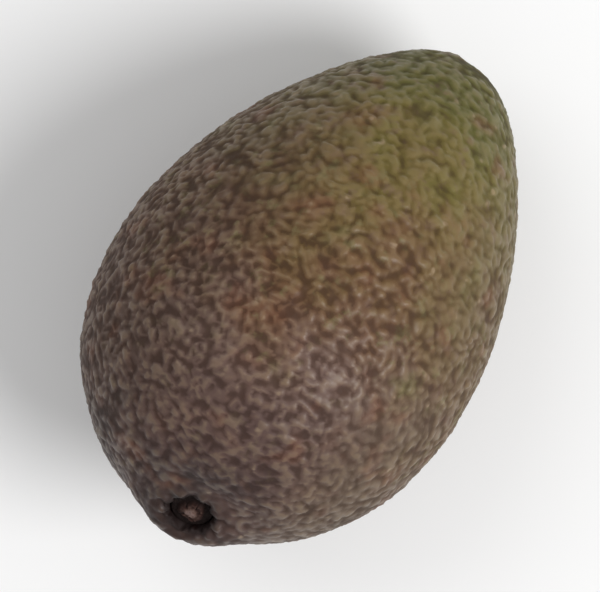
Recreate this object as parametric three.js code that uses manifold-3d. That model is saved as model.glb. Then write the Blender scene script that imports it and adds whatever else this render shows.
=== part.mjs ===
// A whole avocado of the Hass kind, as picked, lying on the small flat spot on its underside.
// Millimetres, +Z up. The origin is the middle of the flat spot, and +X points to the stem end.
//
// The fruit is one solid: skin, flesh and stone grew together and nothing is cut open.
// The woody button that the stem leaves behind is its own piece, seated in a shallow socket.

import * as THREE from 'three';
import { mergeVertices } from 'three/addons/utils/BufferGeometryUtils.js';
import Module from 'manifold-3d';

// ---- Driving dimensions, in millimetres and degrees ----

const fruitLength = 91; // blossom end to stem end, along the fruit's own axis
const fruitWidth = 63.6; // across the widest place
const stemEndFullness = 0.23; // share by which the stem half is fuller than the blossom half
const endTaper = 0.07; // share by which both ends are drawn in
const undulationHeight = 0.35; // slow swells over the skin

const restTilt = 10.5; // the lighter blossom end dips by this angle
const restSpotDepth = 0.8; // how far the underside is pressed flat

const stemPolarAngle = 13.5; // how far the stem sits from the fruit's axis, on a unit ball
const stemRollAngle = 29; // from the top of the fruit towards +Y
const stemElevation = 47; // how steeply the stem points up
const stemAzimuth = 14; // from +X towards +Y
const seatSink = 0.7; // how far the stem's seat is drawn into the fruit

const buttonDiameter = 7;
const buttonProud = 0.3; // middle of the button's top above the seat
const buttonDish = 0.35; // depth of the ring around the button's middle
const buttonRimDrop = 0.18; // the button's edge lies this far below its middle
const buttonRounding = 0.7; // radius of the button's upper edge
const pithDiameter = 2.2; // the pale core of the cut stem
const pithDoming = 0.12; // the core's edge lies this far below its middle
const socketClearance = 0.3; // between the button and its socket, all round and below
const socketDepth = 2.6;
const collarDiameter = 11; // the swollen ring of skin around the socket, at its crest
const collarHeight = 0.8;
const collarThickness = 2.4;
const seatDiameter = 11.5; // the skin lies square to the stem inside this
const seatBlendDiameter = 26; // and is back to the plain fruit outside this

// ---- Mesh fineness ----

const slices = 72; // around the line through the stem
const rings = 46; // from the stem to the opposite side
const ringCrowding = 1.45; // above 1 packs the rings closer near the stem
const buttonSides = 40;

const toRadians = THREE.MathUtils.degToRad;

// ---- The plain fruit ----

// Half-width of the fruit beside a ball of the same width, at a place from -1 (blossom) to 1 (stem).
function fullness(along) {
  return 1 + stemEndFullness * along - endTaper * along * along;
}

// The widest value that the profile reaches, so that fruitWidth is the true width.
function widestProfile() {
  const steps = 400;
  let widest = 0;
  for (let i = 1; i < steps; i++) {
    const along = -1 + (2 * i) / steps;
    widest = Math.max(widest, Math.sqrt(1 - along * along) * fullness(along));
  }
  return widest;
}

const lateralScale = fruitWidth / 2 / widestProfile();

// Slow swells that keep the fruit from being perfectly round: three waves that cross on the unit ball.
// A longer vector makes a wave finer, and its direction is the way that the wave runs.
const swells = [
  { run: new THREE.Vector3(3.1, 2.3, 0), start: 0.7 },
  { run: new THREE.Vector3(0, 4.2, -2.9), start: 0 },
  { run: new THREE.Vector3(2.6, 0, 3.7), start: 1.6 },
];

function undulation(direction) {
  const waves = swells.map(({ run, start }) => Math.sin(run.dot(direction) + start));
  return (undulationHeight * waves.reduce((sum, wave) => sum + wave)) / waves.length;
}

// A point of the plain fruit, level and centred, for a direction on the unit ball (+X to the stem end).
function levelPoint(direction) {
  const sideways = lateralScale * fullness(direction.x) + undulation(direction);
  return new THREE.Vector3(
    (fruitLength / 2) * direction.x,
    sideways * direction.y,
    sideways * direction.z,
  );
}

const tilt = new THREE.Quaternion().setFromAxisAngle(new THREE.Vector3(0, 1, 0), -toRadians(restTilt));

function tiltedPoint(direction) {
  return levelPoint(direction).applyQuaternion(tilt);
}

// The lowest point of the tilted fruit. The flat spot is pressed in just there.
function lowestPoint() {
  const steps = 720;
  let lowest = tiltedPoint(new THREE.Vector3(0, 0, -1));
  for (let i = 0; i < steps; i++) {
    const angle = (Math.PI * i) / steps;
    const point = tiltedPoint(new THREE.Vector3(Math.cos(angle), 0, -Math.sin(angle)));
    if (point.z < lowest.z) {
      lowest = point;
    }
  }
  return lowest;
}

const toRest = lowestPoint().negate();
toRest.z -= restSpotDepth;

function restingPoint(direction) {
  return tiltedPoint(direction).add(toRest);
}

// ---- The seat of the stem ----

const stemDirection = new THREE.Vector3(
  Math.cos(toRadians(stemPolarAngle)),
  Math.sin(toRadians(stemPolarAngle)) * Math.sin(toRadians(stemRollAngle)),
  Math.sin(toRadians(stemPolarAngle)) * Math.cos(toRadians(stemRollAngle)),
);

const stemAxis = new THREE.Vector3(
  Math.cos(toRadians(stemElevation)) * Math.cos(toRadians(stemAzimuth)),
  Math.cos(toRadians(stemElevation)) * Math.sin(toRadians(stemAzimuth)),
  Math.sin(toRadians(stemElevation)),
);

const stemSeat = restingPoint(stemDirection).addScaledVector(stemAxis, -seatSink);

// Height of the skin above the seat, at a distance from the stem's axis: flat, with a raised collar.
function collarProfile(distance) {
  const offset = (distance - collarDiameter / 2) / collarThickness;
  return collarHeight * Math.exp(-offset * offset);
}

// Draws the skin near the stem square to the stem's axis and raises the collar around the socket.
function shapeStemEnd(point) {
  const fromSeat = point.clone().sub(stemSeat);
  const height = fromSeat.dot(stemAxis);
  const distance = Math.sqrt(Math.max(fromSeat.lengthSq() - height * height, 0));
  const farSide = height < -seatDiameter; // the stem's line also leaves the fruit through its underside
  if (farSide || distance > seatBlendDiameter / 2) {
    return point;
  }
  const blend = 1 - THREE.MathUtils.smoothstep(distance, seatDiameter / 2, seatBlendDiameter / 2);
  return point.addScaledVector(stemAxis, blend * (collarProfile(distance) - height));
}

// ---- Solids ----

const wasm = await Module();
wasm.setup();

function toManifold(geometry) {
  const bare = geometry.clone();
  bare.deleteAttribute('normal');
  bare.deleteAttribute('uv');
  const merged = mergeVertices(bare);
  return new wasm.Manifold(new wasm.Mesh({
    numProp: 3,
    vertProperties: new Float32Array(merged.attributes.position.array),
    triVerts: new Uint32Array(merged.index.array),
  }));
}

function toGeometry(solid) {
  const { vertProperties, triVerts } = solid.getMesh();
  const geometry = new THREE.BufferGeometry();
  geometry.setAttribute('position', new THREE.BufferAttribute(vertProperties, 3));
  geometry.setIndex(new THREE.BufferAttribute(triVerts, 1));
  geometry.computeVertexNormals();
  return geometry;
}

// Stands a shape whose axis is +Y, as a lathe makes it, on the seat and along the stem.
const alongStem = new THREE.Quaternion().setFromUnitVectors(new THREE.Vector3(0, 1, 0), stemAxis);

function onStem(geometry) {
  return geometry.applyQuaternion(alongStem).translate(stemSeat.x, stemSeat.y, stemSeat.z);
}

// The closed skin: rings around the line through the stem, closer together near it.
function skinGeometry() {
  const toStem = new THREE.Quaternion().setFromUnitVectors(new THREE.Vector3(0, 0, 1), stemDirection);
  const positions = [];
  const addPoint = (polar, around) => {
    const direction = new THREE.Vector3().setFromSphericalCoords(1, polar, around);
    direction.set(direction.x, direction.z, direction.y).applyQuaternion(toStem);
    positions.push(...shapeStemEnd(restingPoint(direction)).toArray());
  };
  addPoint(0, 0);
  for (let ring = 1; ring < rings; ring++) {
    const polar = Math.PI * Math.pow(ring / rings, ringCrowding);
    for (let slice = 0; slice < slices; slice++) {
      addPoint(polar, (2 * Math.PI * slice) / slices);
    }
  }
  addPoint(Math.PI, 0);

  const last = positions.length / 3 - 1;
  const index = [];
  const at = (ring, slice) => 1 + (ring - 1) * slices + (slice % slices);
  for (let slice = 0; slice < slices; slice++) {
    index.push(0, at(1, slice + 1), at(1, slice));
    index.push(last, at(rings - 1, slice), at(rings - 1, slice + 1));
    for (let ring = 1; ring < rings - 1; ring++) {
      const [a, b] = [at(ring, slice), at(ring, slice + 1)];
      const [c, d] = [at(ring + 1, slice), at(ring + 1, slice + 1)];
      index.push(a, b, d, a, d, c);
    }
  }
  const geometry = new THREE.BufferGeometry();
  geometry.setAttribute('position', new THREE.Float32BufferAttribute(positions, 3));
  geometry.setIndex(index);
  return geometry;
}

// Everything below the surface that the fruit stands on.
function belowGround() {
  const size = 2 * fruitLength;
  return new THREE.BoxGeometry(size, size, size).translate(0, 0, -size / 2);
}

// What the socket takes out of the fruit: the button's own shape, grown by the clearance.
function socketGeometry() {
  const radius = buttonDiameter / 2 + socketClearance;
  const top = 2 * (collarHeight + buttonProud) + socketDepth; // well above the collar
  const profile = [
    new THREE.Vector2(0, -socketDepth),
    new THREE.Vector2(radius, -socketDepth),
    new THREE.Vector2(radius, top),
    new THREE.Vector2(0, top),
  ];
  return onStem(new THREE.LatheGeometry(profile, buttonSides));
}

function fruitGeometry() {
  const skin = toManifold(skinGeometry());
  const standing = skin.subtract(toManifold(belowGround()));
  return toGeometry(standing.subtract(toManifold(socketGeometry())));
}

// The button: a short woody disc with a rounded edge, a shallow ring and a pale raised pith.
function buttonGeometry() {
  const radius = buttonDiameter / 2;
  const bottom = -socketDepth + socketClearance;
  const rim = buttonProud - buttonRimDrop;
  const profile = [new THREE.Vector2(0, bottom), new THREE.Vector2(radius, bottom)];
  const roundingSteps = 4;
  for (let i = 0; i <= roundingSteps; i++) {
    const angle = ((Math.PI / 2) * i) / roundingSteps;
    profile.push(new THREE.Vector2(
      radius - buttonRounding * (1 - Math.cos(angle)),
      rim - buttonRounding * (1 - Math.sin(angle)),
    ));
  }
  profile.push(new THREE.Vector2((radius + pithDiameter / 2) / 2, buttonProud - buttonDish));
  profile.push(new THREE.Vector2(pithDiameter / 2, buttonProud - pithDoming));
  profile.push(new THREE.Vector2(0, buttonProud));
  return onStem(new THREE.LatheGeometry(profile, buttonSides));
}

// ---- The model ----

function part(name, geometry, colour, roughness) {
  const material = new THREE.MeshStandardMaterial({ color: colour, roughness, metalness: 0 });
  const mesh = new THREE.Mesh(geometry, material);
  mesh.name = name;
  return mesh;
}

const avocado = new THREE.Group();
avocado.add(part('fruit', fruitGeometry(), '#6a5846', 0.5));
avocado.add(part('stem_button', buttonGeometry(), '#3a2820', 0.85));

export default avocado;
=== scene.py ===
"""A whole avocado of the Hass kind, lying on its flat spot, seen from above.

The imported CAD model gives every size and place. The skin is rebuilt as a fine mesh that follows the CAD
fruit and carries the pebbles, furrows and swells of the real skin. The stem button is rebuilt as a rough,
cracked disc of the CAD button's size.
"""

import math

import bpy
import numpy as np
from mathutils import Matrix, Vector, kdtree, noise
from mathutils.bvhtree import BVHTree


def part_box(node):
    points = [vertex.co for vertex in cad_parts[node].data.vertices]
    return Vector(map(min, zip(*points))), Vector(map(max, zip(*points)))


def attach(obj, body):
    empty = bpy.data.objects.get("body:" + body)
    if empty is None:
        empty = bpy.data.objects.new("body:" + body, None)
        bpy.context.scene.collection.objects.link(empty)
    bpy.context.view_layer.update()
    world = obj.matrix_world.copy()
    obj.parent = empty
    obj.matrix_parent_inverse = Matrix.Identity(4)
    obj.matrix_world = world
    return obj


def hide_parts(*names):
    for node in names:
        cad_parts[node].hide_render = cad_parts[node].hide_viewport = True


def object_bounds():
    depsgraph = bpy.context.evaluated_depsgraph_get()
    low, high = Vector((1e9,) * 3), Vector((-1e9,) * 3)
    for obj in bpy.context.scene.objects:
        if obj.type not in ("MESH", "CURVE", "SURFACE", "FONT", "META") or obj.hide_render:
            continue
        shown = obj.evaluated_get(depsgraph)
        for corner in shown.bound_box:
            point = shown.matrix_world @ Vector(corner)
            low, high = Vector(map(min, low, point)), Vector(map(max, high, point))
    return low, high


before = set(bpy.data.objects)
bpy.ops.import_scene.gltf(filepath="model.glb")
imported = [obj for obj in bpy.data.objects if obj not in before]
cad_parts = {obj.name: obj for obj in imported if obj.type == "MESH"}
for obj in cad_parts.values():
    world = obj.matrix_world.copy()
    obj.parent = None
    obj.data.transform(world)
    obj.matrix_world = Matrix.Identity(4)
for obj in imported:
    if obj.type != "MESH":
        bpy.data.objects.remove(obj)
cad_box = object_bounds()

MM = 0.001

# ---- Driving values, in metres unless a comment says otherwise ----

# The layout of the skin's mesh.
SKIN_EDGE = 0.47 * MM  # length of a triangle's side over most of the skin
STEM_EDGE = 0.24 * MM  # and next to the stem
ROW_STEP = 0.87  # from one ring to the next, as a share of a triangle's side
LEAST_SIDES = 6  # of a ring
FLOOR_RINGS = (0.35, 0.7, 0.95)  # on the socket's floor, as shares of its radius
WALL_RINGS = 6  # up the socket's wall
LIP_RINGS = 4  # over its lip
STEM_PATCH = 8.0 * MM  # the skin is laid out in circles around the stem inside this distance
BORDER_SAMPLES = 720  # on the circle where the two layouts meet
LENGTHENING = 1.1  # the fruit's mean girth beside that of a ball of its height
SMOOTHING_PASSES = 14  # take the flat facets of the CAD fruit away
SMOOTHING_SHARE = 0.8  # of the way to the neighbours' mean, in each pass
SMOOTHING_START = 3  # it is in full force this many lip radii from the socket
STEM_REGION = 20.0 * MM  # a point counts as near the stem inside this distance from its axis
STEM_REGION_DEPTH = 10.0 * MM  # and no further than this below its seat
MAP_MIDDLES = (0.25, 0.75)  # of the two discs on the map, for the near and the far half of the skin
MAP_HALF_WIDTH = 0.245  # of each disc, a little clear of the edges
MAP_HALF_HEIGHT = 0.49

# The socket and its lip.
SOCKET_CLEARANCE = 0.3 * MM  # between the stem button and its socket
LIP_RADIUS = 0.7 * MM  # rounding of the skin where it turns down into the socket
LIP_RAGGEDNESS = 0.45 * MM  # how far the lip strays from a true circle
LIP_PETALS = 0.65  # share of that which follows the petals
LIP_WAVES = 17  # and the waves around the lip in the rest
LIP_WAVE_SHIFT = (2, 5)  # strength and waves around of what makes those uneven
SOCKET_SHADE_AND_STAIN = 0.95 * MM  # how far the socket's painted shade and dark dry rim spread over its lip
SHADE_AND_STAIN_UNEVENNESS = 0.8
SHADE_AND_STAIN_SWELL = 1.7 * MM
SHADE_AND_STAIN_EDGE = (0.82, 1.12)  # where the painted shade and dark rim start to fade and are gone, as shares of its radius

# Pebbles, ridges and swells of the skin.
SMALL_PEBBLE = 1.38 * MM  # from one pebble to the next
SMALL_HEIGHT = 0.33 * MM
LARGE_PEBBLE = 2.8 * MM  # low humps that carry the pebbles
LARGE_HEIGHT = 0.07 * MM
MEAN_PEBBLE = 0.8  # height of the pebbles on the whole, as a share of a mean pebble's top
PEBBLE_REACH = 0.43  # how far a pebble spreads, as a share of the spacing
PEBBLE_BOLDNESS = (0.5, 1.15)  # of the least and the greatest pebble
PEBBLE_ROUNDNESS = 0.6  # share of a pebble's height that isn't flattened on top
PEBBLE_FLATTENING = 2.5  # how soon the rest levels out
SEED_JITTER = 0.27  # of a pebble's place, as a share of the spacing
SEED_PATCH = 0.87  # a pebble's own area, as a share of the spacing squared
SEEDS_COUNTED = 7  # the nearest pebbles that raise a point
RIDGE_SIZE = 1.9 * MM  # from one winding ridge to the next
RIDGE_HEIGHT = 0.13 * MM
RIDGE_WIDTH = 0.13  # of the noise's range, on each side of the ridge
MEAN_RIDGE = 0.2
RIDGE_TONE = 0.2  # how much paler the ridges are painted, with more painted highlight and less painted shade
SWELL_SIZE = 7.5 * MM
SWELL_HEIGHT = 0.18 * MM
GRAIN_SIZE = 0.8 * MM
GRAIN_HEIGHT = 0.03 * MM
CREST_LEVEL = 0.10 * MM  # raises the mean of the texture to the CAD surface
TONE_SQUEEZE = 0.6  # higher values part pits and crests more sharply
FINE_WARP = (0.32 * MM, 1.5 * MM)  # how far the texture is pushed about, in swells how far apart
WIDE_WARP = (0.9 * MM, 5.5 * MM)

# Zones of the skin, as shares of its length from the blossom end or of its width from the -Y side.
ZONE_SWELL = 14.0 * MM  # the zones' borders wander in swells this far apart
ALONG_WANDER = 0.18
ACROSS_WANDER = 0.15
CALM_ZONE = (0.6, 0.85)  # across: the skin starts to turn smoother and is smoothest
CALM_RIDGES = 0.6  # share of the ridges' height that goes there
CALM_RELIEF = 0.22  # and of the whole texture's height
RIDGES_START = (0.32, 0.6)  # along: the ridges begin and are full
RIDGES_END = (0.98, 0.78)  # along: the ridges are gone and are still full
LEAST_RIDGES = 0.15  # share of their height that stays everywhere

# The swollen ring of skin around the stem.
COLLAR_REACH = 9.0 * MM  # its knobs end here
COLLAR_FULL = 5.6 * MM  # and are full-sized inside this distance
KNOB_SIZE = 2.1 * MM
KNOB_HEIGHT = 0.45 * MM
FINE_KNOB_SIZE = 0.45  # of a finer set of knobs, as a share of the others
FINE_KNOB_HEIGHT = 0.35
PEBBLES_SUNK = 0.35  # share of the texture's height that gives way to the knobs
KNOB_TONE = 0.7  # share of the tone that follows the knobs
KNOB_CONTRAST = 1.9
PETALS = 9  # lobes of the skin that crowd around the stem
PETAL_SHIFTS = ((1.3, 2, 0.4), (0.9, 3, 2.1))  # strength, waves around and start of their unevenness
PETAL_WANDER = (0.12, 1.6 * MM)  # in radians, in swells this far apart
PETAL_RING = 4.9 * MM  # their distance from the stem's axis
PETAL_WIDTH = 1.0 * MM
PETAL_HEIGHT = 0.4 * MM
PETAL_TONE = 0.3

# The dry point where the flower was.
SCAR_RADIUS = 1.3 * MM
SCAR_SOFTNESS = 0.25  # share of the radius over which it fades, each way
SCAR_WANDER = (0.35, 1.1 * MM)  # of its edge: share of the radius, in swells this far apart
SCAR_DIMPLE = 4.0 * MM  # it lies in a dimple of this radius
SCAR_DEPTH = 0.5 * MM
SCAR_SMOOTHNESS = 0.6  # share of the texture's height that is missing there

# The stem button.
BUTTON_SLACK = 0.06 * MM  # it is this much thinner all round than the CAD button
BUTTON_SIDES = 110
BUTTON_FLOOR_RINGS = (0.5, 1.0)  # on its underside, as shares of its radius
BUTTON_WALL_RINGS = (0.3, 0.6, 1.0)  # up its wall, as shares of the wall's height
BUTTON_TOP_RINGS = 30
DISC_EDGE = (2.5 * MM, 1.75 * MM)  # radii where the woody disc starts to rise and is full
CORE_EDGE = (1.25 * MM, 0.65 * MM)  # and where its pale core does
RING_DROP = 1.15 * MM  # from the seat down to the sunken ring around the disc
WALL_DROP = 1.2 * MM  # and down to the top of the button's wall
DISC_HEIGHT = 0.75 * MM
CORE_HEIGHT = 0.3 * MM
CRACKS = 5
CRACK_WIDTH = 0.2  # beside the distance from one crack to the next
CRACK_WANDER = 1.5
CRACK_DEPTH = 0.28 * MM
ROUGH_SIZE = 1.3 * MM
ROUGH_EDGE = 0.16  # how far the disc's edge wanders with the roughness, as a share of its radius
DISC_LOBES = (0.07, 3, 1.1)  # share of the radius, lobes around, start
CRUMBLE_SIZE = 0.6 * MM
CRUMBLE_HEIGHT = 0.13 * MM
RING_TONE = 0.02  # of the sunken ring, near black: partly painted shade, partly the dark rim of the stem
DISC_TONE = 0.38  # is added on the disc
CORE_TONE = 0.55  # and once more on its core
CRACK_TONE = 0.3  # is taken away in the cracks
CRUMBLE_TONE = 0.25

# The picture.
PICTURE_TURN = 54.0  # degrees from the fruit's length to the picture's horizontal
VIEW_LEAN = 4.0  # degrees: the picture was taken a little from its upper left
VIEW_DISTANCE = 0.9
FRAME_FILL = 0.84  # share of the frame's height that the fruit takes
SENSOR = 36.0  # millimetres
FRAME_WIDTH, FRAME_HEIGHT = 600, 592
CLIP_START = 0.01
FLOOR_SIZE = 3.0
FLOOR_GREY = 0.84
FLOOR_ROUGHNESS = 0.9
SKY_STRENGTH = 0.5

# Where each noise starts, so that no two of them run alike.
START = {
    "zones": 2.9,
    "fine warp": 3.1,
    "wide warp": 9.4,
    "ridges": 6.3,
    "swells": 0.0,
    "grain": 5.7,
    "knobs": 12.1,
    "fine knobs": 3.3,
    "petals": 7.9,
    "shade and stain": 4.6,
    "scar": 8.8,
    "rough wood": 2.2,
    "crumbs": 4.1,
    "fine crumbs": 6.4,
}

SEED = 7

rng = np.random.default_rng(SEED)
noise.seed_set(SEED)  # without it, the noise that gives vectors starts from the clock


# ---- Places read from the frame ----


def node_vertices(name):
    """The corners of a CAD node as an array of rows."""
    return np.array([v.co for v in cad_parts[name].data.vertices], float)


def box_centre(name):
    low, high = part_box(name)
    return (np.array(low) + np.array(high)) / 2


class Stem:
    """Where the stem button sits: its axis, its size, and two directions across it."""

    DECIMALS = 7  # of a metre, to tell two corners apart

    def __init__(self):
        corners = np.unique(node_vertices("stem_button").round(self.DECIMALS), axis=0)
        middle = corners.mean(0)
        _, directions = np.linalg.eigh(np.cov((corners - middle).T))
        axis = directions[:, 0]  # the button is a disc, so it is thinnest along its axis
        self.axis = axis if axis @ (middle - box_centre("fruit")) > 0 else -axis
        heights = (corners - middle) @ self.axis
        across = corners - middle - np.outer(heights, self.axis)
        self.radius = np.linalg.norm(across, axis=1).max()
        self.seat = middle + self.axis * heights.max()  # the middle of the button's top
        self.depth = heights.max() - heights.min()
        self.side = np.cross([0, 0, 1], self.axis)
        self.side /= np.linalg.norm(self.side)
        self.down = np.cross(self.axis, self.side)
        self.socket_radius = self.radius + SOCKET_CLEARANCE

    def place(self, distance, angle, height):
        """The point at a distance from the axis, an angle around it and a height above the seat."""
        distance, angle, height = np.broadcast_arrays(distance, angle, height)
        across = np.cos(angle)[..., None] * self.side + np.sin(angle)[..., None] * self.down
        return self.seat + distance[..., None] * across + height[..., None] * self.axis

    def local(self, points):
        """Distance from the axis, angle around it and height above the seat of each point."""
        offset = points - self.seat
        height = offset @ self.axis
        x, y = offset @ self.side, offset @ self.down
        return np.hypot(x, y), np.arctan2(y, x), height


stem = Stem()


# ---- Noise and mesh helpers ----


def perlin(points, size, name):
    """Smooth noise from -1 to 1 at each point, with swells about size apart."""
    scaled = points / size + START[name]
    return np.array([noise.noise(Vector(p)) for p in scaled])


def push_about(points, warp, name):
    """How far smooth noise moves each point, for a warp's strength and the size of its swells."""
    strength, size = warp
    scaled = points / size + START[name]
    return strength * np.array([noise.noise_vector(Vector(p)) for p in scaled])


def smoothstep(low, high, value):
    t = np.clip((value - low) / (high - low), 0, 1)
    return t * t * (3 - 2 * t)


def angles(count):
    return 2 * math.pi * np.arange(count) / count


def stitch(inner, outer):
    """Triangles between two closed rings of vertex numbers that may differ in count."""
    triangles = []
    i = j = 0
    n, m = len(inner), len(outer)
    while i < n or j < m:
        a, b = inner[i % n], outer[j % m]
        if j == m or (i < n and (i + 1) / n <= (j + 1) / m):
            triangles.append((a, b, inner[(i + 1) % n]))
            i += 1
        else:
            triangles.append((a, b, outer[(j + 1) % m]))
            j += 1
    return triangles


class Rings:
    """A closed skin made of rings of points around one line, from a first point to a last one."""

    def __init__(self, first_point):
        self.points = [np.array([first_point])]
        self.count = 1
        self.last = [0]
        self.triangles = []

    def add(self, ring):
        numbers = list(range(self.count, self.count + len(ring)))
        if len(self.last) == 1:
            following = numbers[1:] + numbers[:1]
            self.triangles += [(self.last[0], a, b) for a, b in zip(numbers, following)]
        else:
            self.triangles += stitch(self.last, numbers)
        self.points.append(ring)
        self.count += len(ring)
        self.last = numbers

    def close(self, last_point):
        following = self.last[1:] + self.last[:1]
        self.triangles += [(a, self.count, b) for a, b in zip(self.last, following)]
        self.points.append(np.array([last_point]))
        self.count += 1

    def mesh(self):
        return np.concatenate(self.points), np.array(self.triangles)

    def map(self):
        """Places on a square image for each corner: one disc for each half of the rings, side by side."""
        steps = [np.linalg.norm(b[0] - a[0]) for a, b in zip(self.points, self.points[1:])]
        path = np.concatenate([[0], np.cumsum(steps)])
        ring_of = np.repeat(np.arange(len(self.points)), [len(ring) for ring in self.points])
        turn_of = np.concatenate([angles(len(ring)) for ring in self.points])
        triangles = np.array(self.triangles)
        middle = np.searchsorted(path, path[-1] / 2)
        far_half = np.repeat(ring_of[triangles].max(1) > middle, 3)
        corners = triangles.ravel()
        ring, turn = ring_of[corners], turn_of[corners]
        near_reach = path[ring] / path[middle]
        far_reach = (path[-1] - path[ring]) / (path[-1] - path[middle])
        reach = np.where(far_half, far_reach, near_reach)
        turn = np.where(far_half, -turn, turn)
        near_middle, far_middle = MAP_MIDDLES
        disc_middle = np.where(far_half, far_middle, near_middle)
        across = disc_middle + MAP_HALF_WIDTH * reach * np.cos(turn)
        return np.stack([across, 0.5 + MAP_HALF_HEIGHT * reach * np.sin(turn)], axis=1)


def vertex_normals(points, triangles):
    a, b, c = (points[triangles[:, k]] for k in range(3))
    face = np.cross(b - a, c - a)
    normals = np.zeros_like(points)
    for k in range(3):
        np.add.at(normals, triangles[:, k], face)
    return normals / np.linalg.norm(normals, axis=1, keepdims=True)


def smooth(points, triangles, share, passes):
    """Moves each point towards the mean of its neighbours, by share at that point."""
    edges = np.concatenate([triangles[:, [0, 1]], triangles[:, [1, 2]], triangles[:, [2, 0]]])
    edges = np.unique(np.sort(edges, axis=1), axis=0)
    degree = np.bincount(edges.ravel(), minlength=len(points))[:, None]
    for _ in range(passes):
        total = np.zeros_like(points)
        np.add.at(total, edges[:, 0], points[edges[:, 1]])
        np.add.at(total, edges[:, 1], points[edges[:, 0]])
        points = points + share[:, None] * (total / degree - points)
    return points


def make_object(name, points, triangles):
    mesh = bpy.data.meshes.new(name)
    mesh.from_pydata(points.tolist(), [], triangles.tolist())
    mesh.polygons.foreach_set("use_smooth", [True] * len(triangles))
    made = bpy.data.objects.new(name, mesh)
    bpy.context.scene.collection.objects.link(made)
    return made


def add_map(made, places):
    """The map that the finished colours are baked on."""
    made.data.uv_layers.new(name="OFBake").uv.foreach_set("vector", places.astype(np.float32).ravel())


def add_value(made, name, values):
    """Stores one number per vertex, for the material to read."""
    made.data.attributes.new(name, "FLOAT", "POINT").data.foreach_set("value", values.astype(np.float32))


# ---- The skin ----


class CadFruit:
    """Finds the surface of the CAD fruit, from above the stem or from the middle of the fruit."""

    REACH = 0.02  # how far above the stem's seat a downward look starts

    def __init__(self):
        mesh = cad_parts["fruit"].data
        corners = [v.co for v in mesh.vertices]
        self.tree = BVHTree.FromPolygons(corners, [p.vertices for p in mesh.polygons])
        self.centre = box_centre("fruit")
        self.pole = stem.seat - self.centre
        self.pole /= np.linalg.norm(self.pole)
        self.side = np.cross(self.pole, stem.side)
        self.side /= np.linalg.norm(self.side)
        self.other = np.cross(self.pole, self.side)

    def hit(self, start, direction):
        return np.array(self.tree.ray_cast(Vector(start), Vector(direction))[0])

    def under_stem_circle(self, distance, around):
        """Points of the skin on a circle around the stem's axis."""
        starts = stem.place(distance, around, self.REACH)
        return np.array([self.hit(start, -stem.axis) for start in starts])

    def outwards(self, directions):
        return np.array([self.hit(self.centre, d) for d in directions])

    def angles_of(self, points):
        """Angle from the pole and angle around it, seen from the middle of the fruit."""
        offset = points - self.centre
        offset /= np.linalg.norm(offset, axis=1, keepdims=True)
        polar = np.arccos(offset @ self.pole)
        return polar, np.arctan2(offset @ self.other, offset @ self.side)

    def directions(self, polar, around):
        across = np.cos(around)[:, None] * self.side + np.sin(around)[:, None] * self.other
        return np.cos(polar)[:, None] * self.pole + np.sin(polar)[:, None] * across


def petal_wave(around):
    """Waves around the stem, uneven in width: 1 in the middle of a petal and -1 in the gap beside it."""
    shift = sum(strength * np.sin(waves * around + start) for strength, waves, start in PETAL_SHIFTS)
    return np.cos(PETALS * around + shift)


def ragged(around):
    """How the lip strays around the stem, from about -1, towards the button, to 1."""
    strength, shifts = LIP_WAVE_SHIFT
    waves = np.sin(LIP_WAVES * around + strength * np.sin(shifts * around))
    return -LIP_PETALS * petal_wave(around) + (1 - LIP_PETALS) * waves


def socket_rings(fruit, skin):
    """The floor and wall of the stem's socket, and the rounded lip above it."""
    radius = stem.socket_radius
    count = round(2 * math.pi * radius / STEM_EDGE)
    around = angles(count)
    _, _, lip_height = stem.local(fruit.under_stem_circle(radius + LIP_RADIUS, around))
    floor_height = -stem.depth - SOCKET_CLEARANCE
    for share in FLOOR_RINGS:
        skin.add(stem.place(share * radius, around, floor_height))
    wall_top = lip_height - LIP_RADIUS
    stray = LIP_RAGGEDNESS * ragged(around)
    for share in np.linspace(0, 1, WALL_RINGS):
        distance = radius + share**3 * stray
        skin.add(stem.place(distance, around, floor_height + share * (wall_top - floor_height)))
    for ring in range(1, LIP_RINGS + 1):
        turn = math.pi / 2 * ring / LIP_RINGS
        distance = radius + LIP_RADIUS * (1 - math.cos(turn)) + math.cos(turn) * stray
        skin.add(stem.place(distance, around, wall_top + LIP_RADIUS * math.sin(turn)))


def stem_rings(fruit, skin):
    """Circles of skin around the stem, over the collar."""
    distance = stem.socket_radius + LIP_RADIUS
    while distance < STEM_PATCH:
        edge = STEM_EDGE + (SKIN_EDGE - STEM_EDGE) * smoothstep(stem.socket_radius, STEM_PATCH, distance)
        distance += edge * ROW_STEP
        skin.add(fruit.under_stem_circle(distance, angles(round(2 * math.pi * distance / edge))))
    return distance


def body_rings(fruit, skin, distance):
    """The rest of the skin, from the circles around the stem to the far end of the fruit."""
    samples = angles(BORDER_SAMPLES)
    polar_start, around_start = fruit.angles_of(fruit.under_stem_circle(distance, samples))
    around_start = np.unwrap(around_start)
    turn = np.sign(around_start[-1] - around_start[0]) * 2 * math.pi
    polar_table = np.append(polar_start, polar_start[0])
    around_table = np.append(around_start, around_start[0] + turn)
    table_angles = np.append(samples, 2 * math.pi)

    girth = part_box("fruit")[1].z / 2 * LENGTHENING  # a mean distance from the middle to the skin
    rings = round(math.pi * girth * LENGTHENING / (SKIN_EDGE * ROW_STEP))
    for ring in range(1, rings):
        share = ring / rings
        mean_polar = polar_table.mean() + share * (math.pi - polar_table.mean())
        count = max(LEAST_SIDES, round(2 * math.pi * math.sin(mean_polar) * girth / SKIN_EDGE))
        at = angles(count)
        polar = np.interp(at, table_angles, polar_table)
        polar = polar + share * (math.pi - polar)
        around = np.interp(at, table_angles, around_table)
        skin.add(fruit.outwards(fruit.directions(polar, around)))
    skin.close(fruit.hit(fruit.centre, -fruit.pole))


def ellipsoid_area(x, y, z):
    """The surface of an ellipsoid with these half-lengths, by the usual approximation."""
    power = 1.6
    return 4 * math.pi * (((x * y) ** power + (x * z) ** power + (y * z) ** power) / 3) ** (1 / power)


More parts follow.
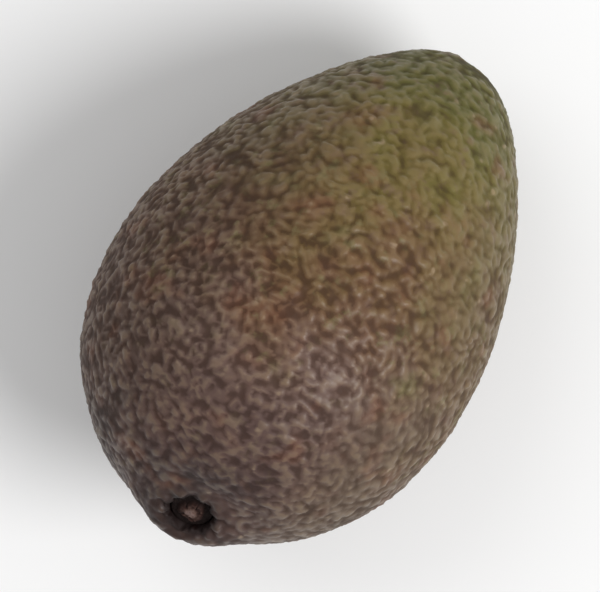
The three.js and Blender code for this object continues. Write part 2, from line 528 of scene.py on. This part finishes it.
def scattered(fruit, spacing):
    """Points strewn over the skin, about spacing apart: a spiral around a ball, shaken and stretched."""
    low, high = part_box("fruit")
    half_lengths = (np.array(high) - np.array(low)) / 2
    count = round(ellipsoid_area(*half_lengths) / (SEED_PATCH * spacing**2))
    number = np.arange(count) + 0.5
    height = 1 - 2 * number / count
    around = math.pi * (1 + math.sqrt(5)) * number
    flat = np.sqrt(1 - height**2)
    directions = np.stack([flat * np.cos(around), flat * np.sin(around), height], axis=1)
    directions += rng.normal(0, SEED_JITTER * math.sqrt(4 * math.pi / count), directions.shape)
    # Turned about an odd line, so that the spiral's ends lie away from the fruit's ends.
    odd_turn = np.array([[0.36, 0.48, -0.8], [-0.8, 0.6, 0], [0.48, 0.64, 0.6]])
    return fruit.outwards((directions @ odd_turn) * half_lengths)


def swelling(points, seeds, boldness, reach):
    """Humps that rise around their seeds and run together where seeds lie close."""
    tree = kdtree.KDTree(len(seeds))
    for number, seed in enumerate(seeds):
        tree.insert(seed, number)
    tree.balance()
    found = [tree.find_n(point, SEEDS_COUNTED) for point in points]
    numbers = np.array([[near[1] for near in row] for row in found])
    away = np.array([[near[2] for near in row] for row in found])
    return (boldness[numbers] * np.exp(-((away / reach) ** 2))).sum(axis=1)


def pebbles(points, fruit, spacing):
    """Rounded pebbles about spacing apart, from 0 in the furrows to about 1 on top."""
    seeds = scattered(fruit, spacing)
    boldness = rng.uniform(*PEBBLE_BOLDNESS, len(seeds))
    rise = swelling(points, seeds, boldness, PEBBLE_REACH * spacing)
    flattened = 1 - np.exp(-PEBBLE_FLATTENING * rise)
    return PEBBLE_ROUNDNESS * rise + (1 - PEBBLE_ROUNDNESS) * flattened


def ridges(points):
    """Winding crests, 1 along the crest, that close into loops."""
    return np.exp(-((perlin(points, RIDGE_SIZE, "ridges") / RIDGE_WIDTH) ** 2))


def even(values):
    """Values moved and squeezed to lie between 0 and 1, with their mean near the middle."""
    return 0.5 + 0.5 * np.tanh(TONE_SQUEEZE * (values - values.mean()) / values.std())


def zones(points):
    """How calm the skin is at each point, and how strong its winding ridges are, both up to 1."""
    low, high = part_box("fruit")
    wander = perlin(points, ZONE_SWELL, "zones")
    along = (points[:, 0] - low.x) / (high.x - low.x) + ALONG_WANDER * wander
    across = (points[:, 1] - low.y) / (high.y - low.y) + ACROSS_WANDER * wander
    calm = smoothstep(*CALM_ZONE, across)
    winding = smoothstep(*RIDGES_START, along) * smoothstep(*RIDGES_END, along)
    winding *= 1 - CALM_RIDGES * calm
    return calm, LEAST_RIDGES + (1 - LEAST_RIDGES) * winding


def skin_relief(fruit, points):
    """Height of the skin's texture at each point, in metres, and its tone, 0 in a pit to 1 on a crest; the
    material paints shade in the pits and a highlight on the crests by this tone.
    """
    calm, winding = zones(points)
    warped = points + push_about(points, FINE_WARP, "fine warp")
    warped += push_about(points, WIDE_WARP, "wide warp")
    height = SMALL_HEIGHT * (pebbles(warped, fruit, SMALL_PEBBLE) - MEAN_PEBBLE)
    height += LARGE_HEIGHT * (pebbles(warped, fruit, LARGE_PEBBLE) - MEAN_PEBBLE)
    crest = ridges(warped) * winding - MEAN_RIDGE
    height += RIDGE_HEIGHT * crest
    height *= 1 - CALM_RELIEF * calm
    tone = np.clip(even(height) + RIDGE_TONE * (winding - LEAST_RIDGES) * crest, 0, 1)
    height += SWELL_HEIGHT * perlin(points, SWELL_SIZE, "swells")
    height += GRAIN_HEIGHT * perlin(points, GRAIN_SIZE, "grain")
    return height + CREST_LEVEL, tone


def add_collar_knobs(points, distance, height, tone):
    """Makes the swollen ring around the stem knobbly, with petals of skin next to the button."""
    share = smoothstep(COLLAR_REACH, COLLAR_FULL, distance)
    knob = perlin(points, KNOB_SIZE, "knobs")
    knob += FINE_KNOB_HEIGHT * perlin(points, FINE_KNOB_SIZE * KNOB_SIZE, "fine knobs")
    height = height * (1 - PEBBLES_SUNK * share) + KNOB_HEIGHT * share * knob
    knob_tone = np.clip(0.5 + KNOB_CONTRAST * knob, 0, 1)
    tone = tone * (1 - KNOB_TONE * share) + KNOB_TONE * share * knob_tone

    _, around, _ = stem.local(points)
    turn, swell = PETAL_WANDER
    petal = petal_wave(around + turn * perlin(points, swell, "petals"))
    petal *= np.exp(-(((distance - PETAL_RING) / PETAL_WIDTH) ** 2))
    return height + PETAL_HEIGHT * petal, np.clip(tone + PETAL_TONE * petal, 0, 1)


def blossom_scar(points):
    """Where the flower sat: 1 on the dry point and falling to 0 at its edge, and the dimple's depth."""
    tip = points[points[:, 0].argmin()]
    share, swell = SCAR_WANDER
    away = np.linalg.norm(points - tip, axis=1) * (1 + share * perlin(points, swell, "scar"))
    scar = smoothstep(SCAR_RADIUS * (1 + SCAR_SOFTNESS), SCAR_RADIUS * (1 - SCAR_SOFTNESS), away)
    return scar, SCAR_DEPTH * smoothstep(SCAR_DIMPLE, 0, away)


def socket_shade_and_stain(points, distance):
    """The dark of the socket, partly painted shade and partly its dry dark rim, which spreads unevenly over
    its lip: 1 inside and 0 on the skin.
    """
    unevenness = 1 + SHADE_AND_STAIN_UNEVENNESS * perlin(points, SHADE_AND_STAIN_SWELL, "shade and stain")
    return 1 - smoothstep(*SHADE_AND_STAIN_EDGE, distance / (stem.socket_radius + SOCKET_SHADE_AND_STAIN * unevenness))


def make_skin():
    """The whole skin as one closed mesh, with the values that its material reads."""
    fruit = CadFruit()
    floor_centre = stem.place(0.0, 0.0, -stem.depth - SOCKET_CLEARANCE)
    skin = Rings(floor_centre)
    socket_rings(fruit, skin)
    distance = stem_rings(fruit, skin)
    body_rings(fruit, skin, distance)
    points, triangles = skin.mesh()

    from_axis, _, stem_height = stem.local(points)
    near_stem = (stem_height > -STEM_REGION_DEPTH) & (from_axis < STEM_REGION)
    distance = np.where(near_stem, from_axis, STEM_REGION)
    smoothing_radius = stem.socket_radius + SMOOTHING_START * LIP_RADIUS
    loose = smoothstep(stem.socket_radius + LIP_RADIUS, smoothing_radius, distance)
    points = smooth(points, triangles, SMOOTHING_SHARE * loose, SMOOTHING_PASSES)

    height, tone = skin_relief(fruit, points)
    height, tone = add_collar_knobs(points, distance, height, tone)
    scar, dimple = blossom_scar(points)
    height = height * (1 - SCAR_SMOOTHNESS * scar) - dimple
    in_socket = 1 - smoothstep(stem.socket_radius, stem.socket_radius + LIP_RADIUS, distance)
    height *= 1 - in_socket
    points = points + vertex_normals(points, triangles) * height[:, None]
    points[:, 2] = np.maximum(points[:, 2], 0)

    made = make_object("fruit_skin", points, triangles)
    add_map(made, skin.map())
    add_value(made, "relief", tone)
    add_value(made, "socket", socket_shade_and_stain(points, distance))
    add_value(made, "scar", scar)
    add_value(made, "collar", 1 - smoothstep(stem.socket_radius, COLLAR_REACH, distance))
    return made


# ---- Materials ----


def srgb(red, green, blue):
    """A colour as picked on a screen, 0 to 255, turned into the linear values that shaders take."""

    def linear(value):
        value /= 255
        return value / 12.92 if value <= 0.04045 else ((value + 0.055) / 1.055) ** 2.4

    return (linear(red), linear(green), linear(blue), 1.0)


class Shader:
    """A material's node tree, with short ways to add the nodes used here."""

    def __init__(self, name):
        self.material = bpy.data.materials.new(name)
        self.material.use_nodes = True
        self.tree = self.material.node_tree
        self.surface = self.tree.nodes["Principled BSDF"]

    def node(self, kind, **settings):
        made = self.tree.nodes.new(kind)
        for name, value in settings.items():
            setattr(made, name, value)
        return made

    def feed(self, socket, value):
        if isinstance(value, bpy.types.NodeSocket):
            self.tree.links.new(value, socket)
        else:
            socket.default_value = value

    def place(self):
        """Object coordinates in millimetres."""
        coordinates = self.node("ShaderNodeTexCoord")
        scaled = self.node("ShaderNodeVectorMath", operation="SCALE")
        self.feed(scaled.inputs[0], coordinates.outputs["Object"])
        scaled.inputs["Scale"].default_value = 1 / MM
        return scaled.outputs[0]

    def math(self, operation, first, second):
        made = self.node("ShaderNodeMath", operation=operation)
        for socket, value in zip(made.inputs, (first, second)):
            self.feed(socket, value)
        return made.outputs[0]

    def noise(self, place, size, detail, roughness, start):
        """Noise from 0 to 1 with swells about size millimetres apart."""
        made = self.node("ShaderNodeTexNoise", noise_dimensions="4D")
        self.feed(made.inputs["Vector"], place)
        made.inputs["W"].default_value = start
        made.inputs["Scale"].default_value = 1 / size
        made.inputs["Detail"].default_value = detail
        made.inputs["Roughness"].default_value = roughness
        return made.outputs["Fac"]

    def cells(self, place, size):
        """Distance from the nearest of many points about size millimetres apart."""
        made = self.node("ShaderNodeTexVoronoi")
        self.feed(made.inputs["Vector"], place)
        made.inputs["Scale"].default_value = 1 / size
        return made.outputs["Distance"]

    def between(self, value, low, high, to_low=0.0, to_high=1.0, curve="SMOOTHSTEP"):
        """Value turned from low..high into to_low..to_high, smoothly, and held there outside."""
        made = self.node("ShaderNodeMapRange", interpolation_type=curve)
        self.feed(made.inputs["Value"], value)
        for name, number in (("From Min", low), ("From Max", high), ("To Min", to_low), ("To Max", to_high)):
            made.inputs[name].default_value = number
        return made.outputs["Result"]

    def ramp(self, value, stops):
        made = self.node("ShaderNodeValToRGB")
        self.feed(made.inputs["Fac"], value)
        elements = made.color_ramp.elements
        elements[0].position, elements[0].color = stops[0]
        elements[1].position, elements[1].color = stops[-1]
        for position, colour in stops[1:-1]:
            elements.new(position).color = colour
        return made.outputs["Color"]

    def mix(self, share, first, second, blend="MIX"):
        made = self.node("ShaderNodeMix", data_type="RGBA", blend_type=blend)
        self.feed(made.inputs["Factor"], share)
        colour_inputs = [s for s in made.inputs if s.type == "RGBA"]
        self.feed(colour_inputs[0], first)
        self.feed(colour_inputs[1], second)
        return next(s for s in made.outputs if s.type == "RGBA")

    def tint(self, colour, value, start, full, share, tint, within=None):
        """Colour with a tint laid on, up to share, as value goes from start to full, within a zone."""
        amount = self.between(value, start, full, 0.0, share)
        if within is not None:
            amount = self.math("MULTIPLY", amount, within)
        return self.mix(amount, colour, tint)

    def value(self, name):
        """A number stored on the mesh's vertices."""
        return self.node("ShaderNodeAttribute", attribute_name=name).outputs["Fac"]

    def bump(self, height, strength, distance, after=None):
        """A finely roughened normal, on top of another one if given."""
        made = self.node("ShaderNodeBump")
        self.feed(made.inputs["Height"], height)
        made.inputs["Strength"].default_value = strength
        made.inputs["Distance"].default_value = distance
        if after is not None:
            self.feed(made.inputs["Normal"], after)
        return made.outputs["Normal"]


# The skin's colours from its blossom end, 0, to its stem end, 1.
ALONG_COLOURS = (
    (0.05, srgb(80, 77, 28)),
    (0.18, srgb(91, 82, 31)),
    (0.34, srgb(93, 73, 36)),
    (0.48, srgb(94, 66, 42)),
    (0.66, srgb(95, 73, 64)),
    (0.84, srgb(80, 60, 55)),
    (0.97, srgb(58, 44, 42)),
)
OLIVE_BROWN = srgb(88, 75, 52)
# Painted shadow on the -Y side of the skin.
SHADOW_BROWN = srgb(72, 54, 42)
RED_BROWN = srgb(102, 64, 44)
OLIVE = srgb(89, 84, 46)
PINKISH_BROWN = srgb(91, 67, 56)
TAN = srgb(101, 86, 66)
LIGHT_OLIVE = srgb(96, 90, 47)
# Pale specks: partly lenticels of the skin, partly painted glints.
PALE_SPECK = srgb(160, 138, 112)
COLLAR_BROWN = srgb(54, 38, 34)
# Socket black: partly painted shade in the recess, partly the dry dark rim.
SOCKET_BLACK = srgb(26, 12, 10)
SCAR_BROWN = srgb(50, 36, 25)
PIT_SHADE = (0.52, 0.45, 0.4, 1.0)  # multiplies the colour in the pits
CREST_HIGHLIGHT = (0.05, 0.039, 0.023, 1.0)  # painted highlight, added to the colour on the crests
COLOUR_WANDER = 0.09  # how far the bands of colour stray, as a share of the length
GREEN_END = (0.72, 0.5)  # along: the last place of the green flecks, and where they are in full number

# Ranges of the relief's tone, which is 0 in a pit and 1 on a crest.
PIT_TONES = (0.52, 0.05)  # the shade of the pits starts and is full
CREST_TONES = (0.5, 0.95)  # the painted highlight on the crests starts and is full
SPECK_TONES = (0.35, 0.75)  # pale specks start and are full
GLOSS_TONES = (0.15, 0.85)  # the skin is dullest and is glossiest

PIT_ROUGHNESS = 0.78
CREST_ROUGHNESS = 0.43
FINE_ROUGHNESS = 0.06  # goes up and down by this with the fine noise
WOOD_ROUGHNESS = (0.92, 0.72)
SKIN_SHINE = 0.32
WOOD_SHINE = 0.2
CELL_SIZE = 0.8  # of the finest texture, in millimetres

NOISE_RANGE = (0.3, 0.7)  # most values of a noise lie in it

# Noises in the materials: swell in millimetres, detail, roughness and start.
PATCHES = (13.0, 3.0, 0.55, 1.3)
BLOTCHES = (6.5, 2.0, 0.5, 7.7)
FLECKS = (2.4, 3.0, 0.6, 4.2)
SPECKS = (2.0, 1.0, 0.4, 11.5)
FINE = (0.6, 3.0, 0.6, 2.0)
WOOD_GRAIN = (0.7, 4.0, 0.65, 8.0)

# The wood's colours from its deepest place, 0, to its pale core, 1; the near-black at 0 is partly painted
# shade in the sunken ring.
WOOD_COLOURS = (
    (0.0, srgb(14, 5, 4)),
    (0.4, srgb(44, 24, 19)),
    (0.75, srgb(92, 70, 62)),
    (1.0, srgb(114, 94, 88)),
)
WOOD_DARK = srgb(34, 20, 16)


def share_across(shader, output, low, high):
    """A place as a share of the fruit's length or width, from 0 to 1."""
    return shader.between(output, low / MM, high / MM, curve="LINEAR")


def skin_colour(shader, place, relief):
    """Olive at the blossom end, through tan and red-brown, to a dark purplish brown at the stem."""
    low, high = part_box("fruit")
    axes = shader.node("ShaderNodeSeparateXYZ")
    shader.feed(axes.inputs[0], place)
    along = share_across(shader, axes.outputs["X"], low.x, high.x)
    across = share_across(shader, axes.outputs["Y"], low.y, high.y)

    patches = shader.noise(place, *PATCHES)
    wander = shader.between(patches, *NOISE_RANGE, to_low=-COLOUR_WANDER, to_high=COLOUR_WANDER)
    along = shader.math("ADD", along, wander)
    colour = shader.ramp(along, ALONG_COLOURS)
    colour = shader.tint(colour, across, start=0.62, full=0.9, share=0.5, tint=OLIVE_BROWN)
    # Painted shadow darkens the skin towards the -Y side.
    colour = shader.tint(colour, across, start=0.42, full=0.08, share=0.6, tint=SHADOW_BROWN)

    # Blotches and smaller flecks. The stem end has no green in it.
    green = shader.between(along, *GREEN_END)
    blotch = shader.noise(place, *BLOTCHES)
    colour = shader.tint(colour, blotch, start=0.54, full=0.72, share=0.5, tint=RED_BROWN)
    colour = shader.tint(colour, blotch, start=0.44, full=0.28, share=0.45, tint=OLIVE, within=green)
    fleck = shader.noise(place, *FLECKS)
    colour = shader.tint(colour, fleck, start=0.52, full=0.72, share=0.5, tint=PINKISH_BROWN)
    colour = shader.tint(colour, fleck, start=0.46, full=0.28, share=0.35, tint=TAN)
    colour = shader.tint(colour, fleck, start=0.46, full=0.28, share=0.45, tint=LIGHT_OLIVE, within=green)

    # Painted shade darkens the pits and a painted highlight lightens the crests, and some crests carry a
    # pale speck.
    colour = shader.mix(shader.between(relief, *PIT_TONES), colour, PIT_SHADE, "MULTIPLY")
    colour = shader.mix(shader.between(relief, *CREST_TONES), colour, CREST_HIGHLIGHT, "ADD")
    # The pale specks on the crests are partly lenticels and partly painted glints.
    speck = shader.noise(place, *SPECKS)
    high_up = shader.between(relief, *SPECK_TONES)
    colour = shader.tint(colour, speck, start=0.66, full=0.78, share=0.42, tint=PALE_SPECK, within=high_up)

    collar = shader.value("collar")
    colour = shader.tint(colour, collar, start=0.05, full=0.7, share=0.65, tint=COLLAR_BROWN)
    # Painted shade and the dark dry rim in and around the socket.
    colour = shader.mix(shader.value("socket"), colour, SOCKET_BLACK)
    return shader.mix(shader.value("scar"), colour, SCAR_BROWN)


def skin_material():
    """Waxy skin: glossier on the crests than in the pits."""
    shader = Shader("avocado_skin")
    place = shader.place()
    relief = shader.value("relief")
    shader.feed(shader.surface.inputs["Base Color"], skin_colour(shader, place, relief))

    fine = shader.noise(place, *FINE)
    rough = shader.between(relief, *GLOSS_TONES, to_low=PIT_ROUGHNESS, to_high=CREST_ROUGHNESS)
    uneven = shader.between(fine, *NOISE_RANGE, to_low=-FINE_ROUGHNESS, to_high=FINE_ROUGHNESS)
    shader.feed(shader.surface.inputs["Roughness"], shader.math("ADD", rough, uneven))
    normal = shader.bump(shader.cells(place, CELL_SIZE), strength=0.12, distance=-0.12 * MM)
    normal = shader.bump(fine, strength=0.2, distance=0.1 * MM, after=normal)
    shader.feed(shader.surface.inputs["Normal"], normal)
    shader.surface.inputs["Specular IOR Level"].default_value = SKIN_SHINE
    return shader.material


def button_material():
    """Dry, dark wood with a paler core."""
    shader = Shader("stem_wood")
    grain = shader.noise(shader.place(), *WOOD_GRAIN)
    colour = shader.ramp(shader.value("relief"), WOOD_COLOURS)
    colour = shader.tint(colour, grain, start=0.35, full=0.65, share=0.4, tint=WOOD_DARK)
    shader.feed(shader.surface.inputs["Base Color"], colour)
    rough = shader.between(grain, *NOISE_RANGE, *WOOD_ROUGHNESS)
    shader.feed(shader.surface.inputs["Roughness"], rough)
    normal = shader.bump(grain, strength=0.5, distance=0.15 * MM)
    shader.feed(shader.surface.inputs["Normal"], normal)
    shader.surface.inputs["Specular IOR Level"].default_value = WOOD_SHINE
    return shader.material


def plain_material(name, colour, roughness):
    """One colour all over."""
    shader = Shader(name)
    shader.surface.inputs["Base Color"].default_value = colour
    shader.surface.inputs["Roughness"].default_value = roughness
    return shader.material


# ---- The stem button ----


def button_top(distance, around):
    """Height over the seat and tone of the button's top: a cracked, pale-cored disc in a sunken ring."""
    places = stem.place(distance, around, 0.0)
    rough = perlin(places, ROUGH_SIZE, "rough wood")
    share, lobes, start = DISC_LOBES
    wandering = distance * (1 + ROUGH_EDGE * rough + share * np.sin(lobes * around + start))
    disc = smoothstep(*DISC_EDGE, wandering)
    core = smoothstep(*CORE_EDGE, wandering)
    from_crack = np.sin(CRACKS / 2 * around + CRACK_WANDER * rough)
    crack = np.exp(-((from_crack / CRACK_WIDTH) ** 2)) * disc * (1 - core)
    crumbs = perlin(places, CRUMBLE_SIZE, "crumbs") + 0.5 * perlin(places, CRUMBLE_SIZE / 2, "fine crumbs")
    height = -RING_DROP + DISC_HEIGHT * disc + CORE_HEIGHT * core
    height += CRUMBLE_HEIGHT * crumbs - CRACK_DEPTH * crack
    tone = RING_TONE + DISC_TONE * disc + CORE_TONE * core
    tone += CRUMBLE_TONE * crumbs * disc - CRACK_TONE * crack
    return height, np.clip(tone, 0, 1)


def make_button():
    """The dry stub of the stem: a rough disc that fills its socket."""
    around = angles(BUTTON_SIDES)
    everywhere = np.ones(BUTTON_SIDES)
    bottom = -stem.depth
    button = Rings(stem.place(0.0, 0.0, bottom))
    tones = [np.zeros(1)]

    def ring(distance, height, tone):
        button.add(stem.place(distance * everywhere, around, height * everywhere))
        tones.append(tone * everywhere)

    wall = stem.radius - BUTTON_SLACK
    for share in BUTTON_FLOOR_RINGS:
        ring(share * wall, bottom, 0.0)
    for share in BUTTON_WALL_RINGS:
        ring(wall, bottom + share * (-bottom - WALL_DROP), 0.0)
    for step in range(1, BUTTON_TOP_RINGS):
        distance = wall * (1 - step / BUTTON_TOP_RINGS)
        height, tone = button_top(distance * everywhere, around)
        ring(distance, height, tone)
    height, tone = button_top(np.zeros(1), np.zeros(1))
    button.close(stem.place(0.0, 0.0, height[0]))
    tones.append(tone)

    points, triangles = button.mesh()
    made = make_object("stem_button_wood", points, triangles)
    add_map(made, button.map())
    add_value(made, "relief", np.concatenate(tones))
    return made


# ---- Floor, light and camera ----


def make_floor():
    """A plain pale surface for the fruit to lie on."""
    half = FLOOR_SIZE / 2
    corners = [(-half, -half, 0), (half, -half, 0), (half, half, 0), (-half, half, 0)]
    mesh = bpy.data.meshes.new("floor")
    mesh.from_pydata(corners, [], [(0, 1, 2, 3)])
    floor = bpy.data.objects.new("floor", mesh)
    bpy.context.scene.collection.objects.link(floor)
    grey = (FLOOR_GREY, FLOOR_GREY, FLOOR_GREY, 1.0)
    floor.data.materials.append(plain_material("floor_white", grey, FLOOR_ROUGHNESS))


def add_area_light(name, right_share, up_share, height, size, power):
    """A round lamp over the fruit and aimed at it, placed by the picture's right and up."""
    right, up = picture_axes()
    place = right_share * right + up_share * up + Vector((0, 0, height))
    light = bpy.data.lights.new(name, "AREA")
    light.shape = "DISK"
    light.size = size
    light.energy = power
    made = bpy.data.objects.new(name, light)
    made.location = place
    made.rotation_euler = (-place).to_track_quat("-Z", "Y").to_euler()
    bpy.context.scene.collection.objects.link(made)


def picture_axes():
    """The picture's right and up as directions in the row frame. The stem end lies at the lower left."""
    lean = math.radians(PICTURE_TURN)
    right = Vector((-math.cos(lean), math.sin(lean), 0))
    up = Vector((-math.sin(lean), -math.cos(lean), 0))
    return right, up


def make_camera():
    """Looks down on the fruit as the picture does, with the fruit in the middle of the frame."""
    right, up = picture_axes()
    low, high = (Vector(corner) for corner in cad_box)
    target = (low + high) / 2
    lean = math.radians(VIEW_LEAN)
    towards = (up - right).normalized() * math.sin(lean) + Vector((0, 0, math.cos(lean)))
    camera = bpy.data.cameras.new("camera")
    made = bpy.data.objects.new("camera", camera)
    made.location = target + VIEW_DISTANCE * towards
    back = towards.normalized()
    across = up.cross(back).normalized()
    upright = back.cross(across)
    made.rotation_euler = Matrix((across, upright, back)).transposed().to_euler()

    corners = node_vertices("fruit") - np.array(target)
    tall = corners @ np.array(upright)
    wide = corners @ np.array(across)
    made.location += upright * float(tall.max() + tall.min()) / 2
    made.location += across * float(wide.max() + wide.min()) / 2
    covered = float(tall.max() - tall.min()) / FRAME_FILL * FRAME_WIDTH / FRAME_HEIGHT
    camera.sensor_width = SENSOR
    camera.lens = SENSOR * VIEW_DISTANCE / covered
    camera.clip_start = CLIP_START
    bpy.context.scene.collection.objects.link(made)
    bpy.context.scene.camera = made


def make_light():
    """Soft, even light with a stronger lamp on the right."""
    world = bpy.data.worlds.new("studio")
    world.use_nodes = True
    background = world.node_tree.nodes["Background"]
    background.inputs["Color"].default_value = (1.0, 1.0, 1.0, 1.0)
    background.inputs["Strength"].default_value = SKY_STRENGTH
    bpy.context.scene.world = world
    add_area_light("key", right_share=0.62, up_share=-0.25, height=0.85, size=0.6, power=8.5)
    add_area_light("fill", right_share=-0.5, up_share=0.5, height=0.9, size=0.8, power=2.5)
    bpy.context.scene.view_settings.view_transform = "Standard"


# ---- The scene ----

make_camera()
make_light()
make_floor()

fruit_skin = make_skin()
fruit_skin.data.materials.append(skin_material())
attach(fruit_skin, "root")
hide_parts("fruit")

button = make_button()
button.data.materials.append(button_material())
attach(button, "root")
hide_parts("stem_button")
